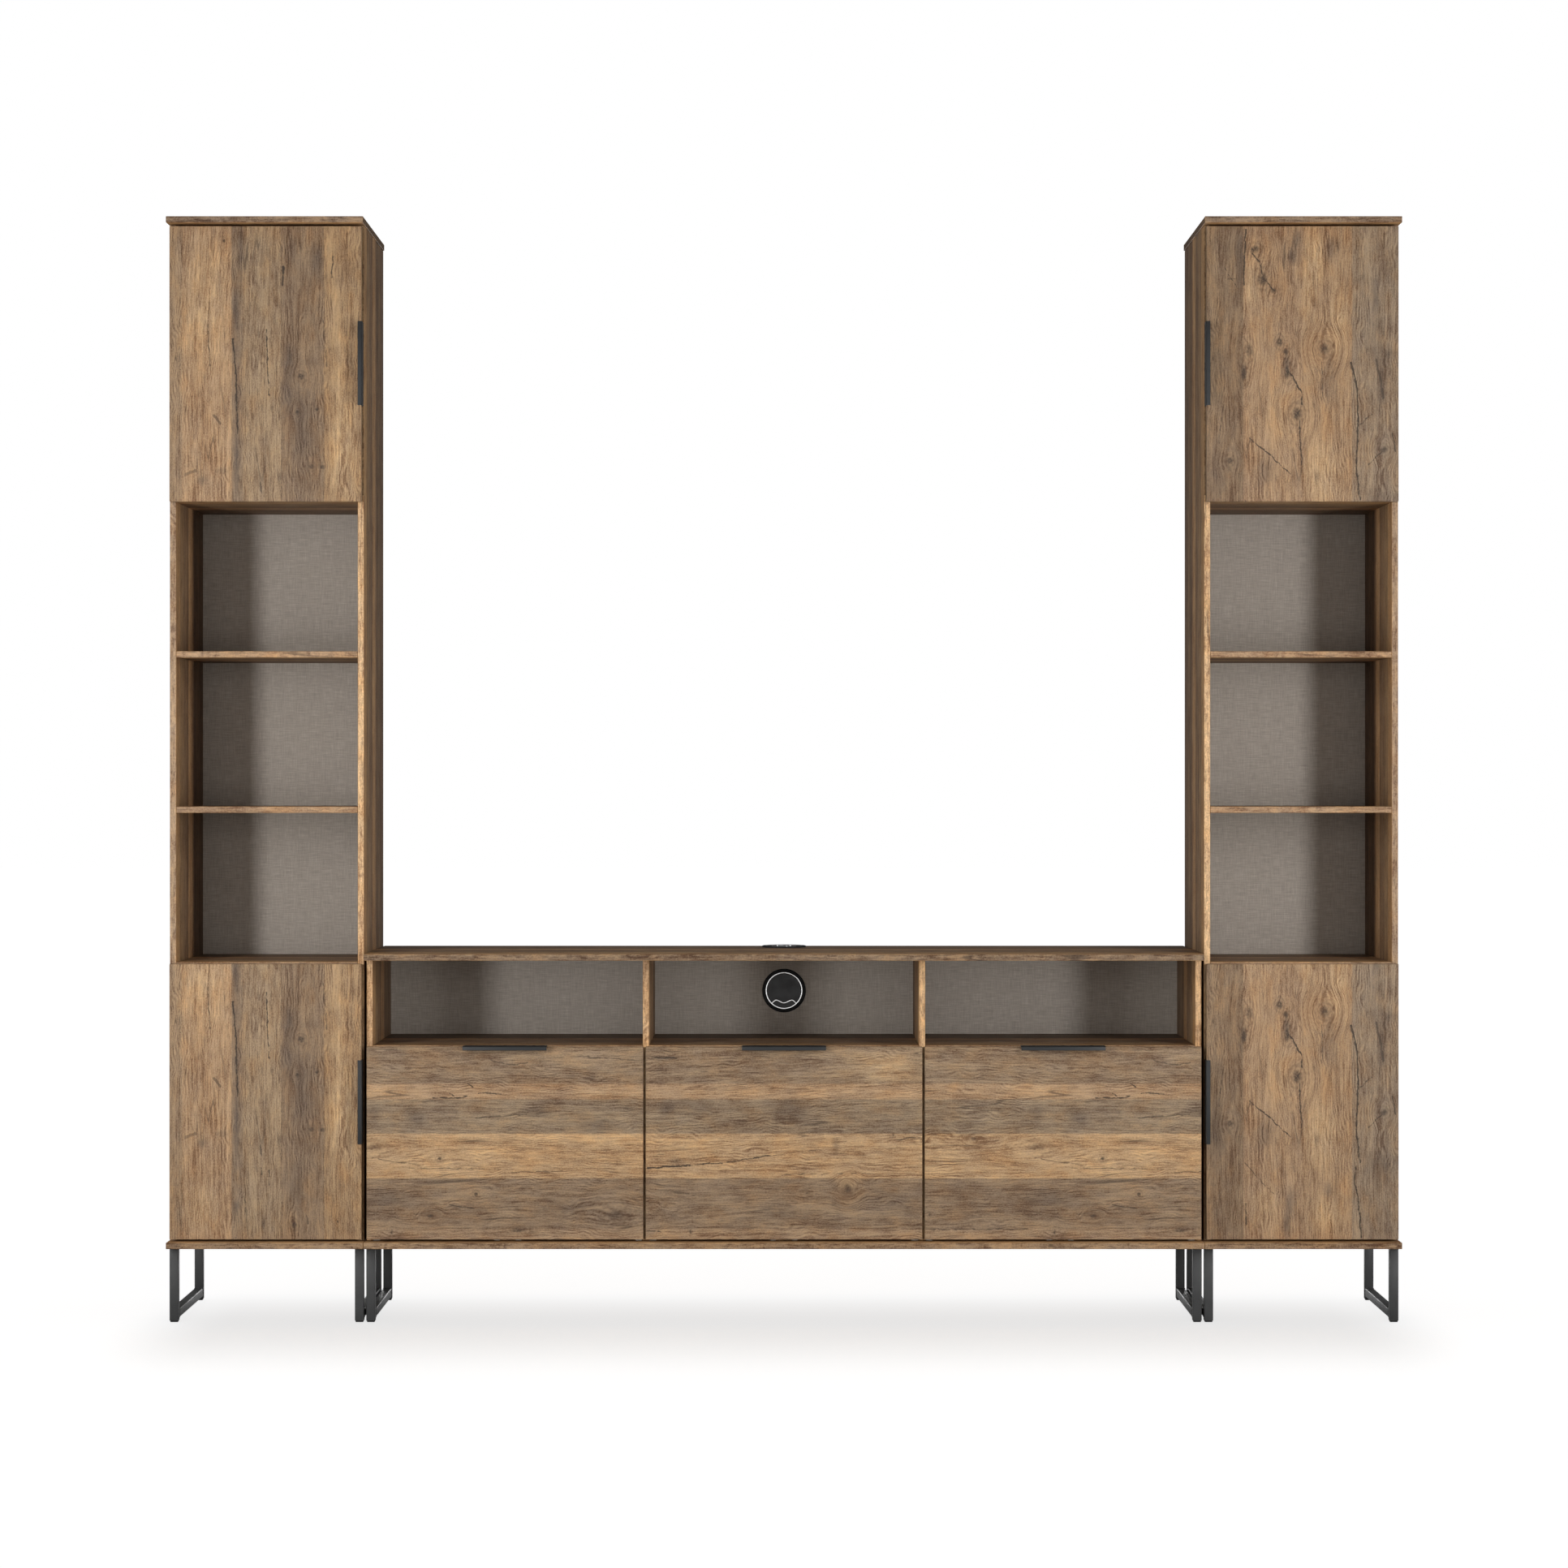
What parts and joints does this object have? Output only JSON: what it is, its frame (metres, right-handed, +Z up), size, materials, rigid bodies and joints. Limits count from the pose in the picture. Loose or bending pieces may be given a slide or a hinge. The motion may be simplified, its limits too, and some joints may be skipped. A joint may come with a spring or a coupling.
{
  "type": "entertainment center",
  "caption": "Free-standing media wall unit: a low drawer console with open niches between tall towers with doors and open shelves, on black sled legs.",
  "frame": {"origin": "on the floor, under the middle of the whole set's width and depth", "axes": "+X to the right seen from the front, +Y from the front to the back, +Z up"},
  "size_m": [2.3516, 0.4, 2.108],
  "materials": {
    "rustic_oak": "matt rustic oak decor with knots and dark grain",
    "shelf_oak": "matt rustic oak decor on the shelf boards",
    "linen_back": "thin board with a grey linen-look face",
    "drawer_board": "pale lined board",
    "beech_rail": "planed beech",
    "black_steel": "matt black powder coat",
    "black_plastic": "matt black moulded plastic",
    "silver_trim": "bright silver trim line",
    "hinge_steel": "nickel-plated hinge steel"
  },
  "bodies": {
    "root": {"left_tower_top_panel": "rustic_oak", "left_tower_bottom_panel": "rustic_oak", "left_tower_inner_side": "rustic_oak", "left_tower_outer_side": "rustic_oak", "left_tower_back_panel": "linen_back", "left_tower_lower_fixed_shelf": "shelf_oak", "left_tower_open_shelf_1": "shelf_oak", "left_tower_open_shelf_2": "shelf_oak", "left_tower_upper_fixed_shelf": "shelf_oak", "left_tower_inner_leg_frame": "black_steel", "left_tower_outer_leg_frame": "black_steel", "right_tower_top_panel": "rustic_oak", "right_tower_bottom_panel": "rustic_oak", "right_tower_inner_side": "rustic_oak", "right_tower_outer_side": "rustic_oak", "right_tower_back_panel": "linen_back", "right_tower_lower_fixed_shelf": "shelf_oak", "right_tower_open_shelf_1": "shelf_oak", "right_tower_open_shelf_2": "shelf_oak", "right_tower_upper_fixed_shelf": "shelf_oak", "right_tower_inner_leg_frame": "black_steel", "right_tower_outer_leg_frame": "black_steel", "console_top_panel": "rustic_oak", "console_bottom_panel": "rustic_oak", "console_left_side": "rustic_oak", "console_right_side": "rustic_oak", "console_left_divider": "rustic_oak", "console_right_divider": "rustic_oak", "console_left_deck": "shelf_oak", "console_center_deck": "shelf_oak", "console_right_deck": "shelf_oak", "console_back_panel": "linen_back", "console_left_leg_frame": "black_steel", "console_right_leg_frame": "black_steel", "left_drawer_center_rail": "beech_rail", "center_drawer_center_rail": "beech_rail", "right_drawer_center_rail": "beech_rail", "top_grommet_sleeve": "black_plastic", "back_grommet_sleeve": "black_plastic"},
    "left_lower_door": {"left_lower_door": "rustic_oak", "left_lower_handle": "black_steel"},
    "left_upper_door": {"left_upper_door": "rustic_oak", "left_upper_handle": "black_steel"},
    "right_lower_door": {"right_lower_door": "rustic_oak", "right_lower_handle": "black_steel"},
    "right_upper_door": {"right_upper_door": "rustic_oak", "right_upper_handle": "black_steel"},
    "left_drawer": {"left_drawer_front": "rustic_oak", "left_drawer_handle": "black_steel", "left_drawer_box": "drawer_board"},
    "center_drawer": {"center_drawer_front": "rustic_oak", "center_drawer_handle": "black_steel", "center_drawer_box": "drawer_board"},
    "right_drawer": {"right_drawer_front": "rustic_oak", "right_drawer_handle": "black_steel", "right_drawer_box": "drawer_board"},
    "top_grommet_cap": {"top_grommet_cap": "black_plastic", "top_grommet_flap": "black_plastic"},
    "back_grommet_cap": {"back_grommet_cap": "black_plastic", "back_grommet_flap": "black_plastic"}
  },
  "joints": [
    {"name": "left_lower_door_hinge", "type": "hinge", "parent": "root", "child": "left_lower_door", "pos_m": [-1.172, -0.164, 0.42195], "axis": [0, 0, -1], "range_deg": [0, 105]},
    {"name": "left_upper_door_hinge", "type": "hinge", "parent": "root", "child": "left_upper_door", "pos_m": [-1.172, -0.164, 1.8294], "axis": [0, 0, -1], "range_deg": [0, 105]},
    {"name": "right_lower_door_hinge", "type": "hinge", "parent": "root", "child": "right_lower_door", "pos_m": [1.172, -0.164, 0.42195], "axis": [0, 0, 1], "range_deg": [0, 105]},
    {"name": "right_upper_door_hinge", "type": "hinge", "parent": "root", "child": "right_upper_door", "pos_m": [1.172, -0.164, 1.8294], "axis": [0, 0, 1], "range_deg": [0, 105]},
    {"name": "left_drawer_slide", "type": "slide", "parent": "root", "child": "left_drawer", "axis": [0, -1, 0], "range_m": [0, 0.24]},
    {"name": "center_drawer_slide", "type": "slide", "parent": "root", "child": "center_drawer", "axis": [0, -1, 0], "range_m": [0, 0.24]},
    {"name": "right_drawer_slide", "type": "slide", "parent": "root", "child": "right_drawer", "axis": [0, -1, 0], "range_m": [0, 0.24]},
    {"name": "top_grommet_turn", "type": "hinge", "parent": "root", "child": "top_grommet_cap", "pos_m": [0, 0.138, 0.704], "axis": [0, 0, 1], "continuous": true},
    {"name": "back_grommet_turn", "type": "hinge", "parent": "root", "child": "back_grommet_cap", "pos_m": [0, 0.185, 0.615], "axis": [0, -1, 0], "continuous": true}
  ]
}
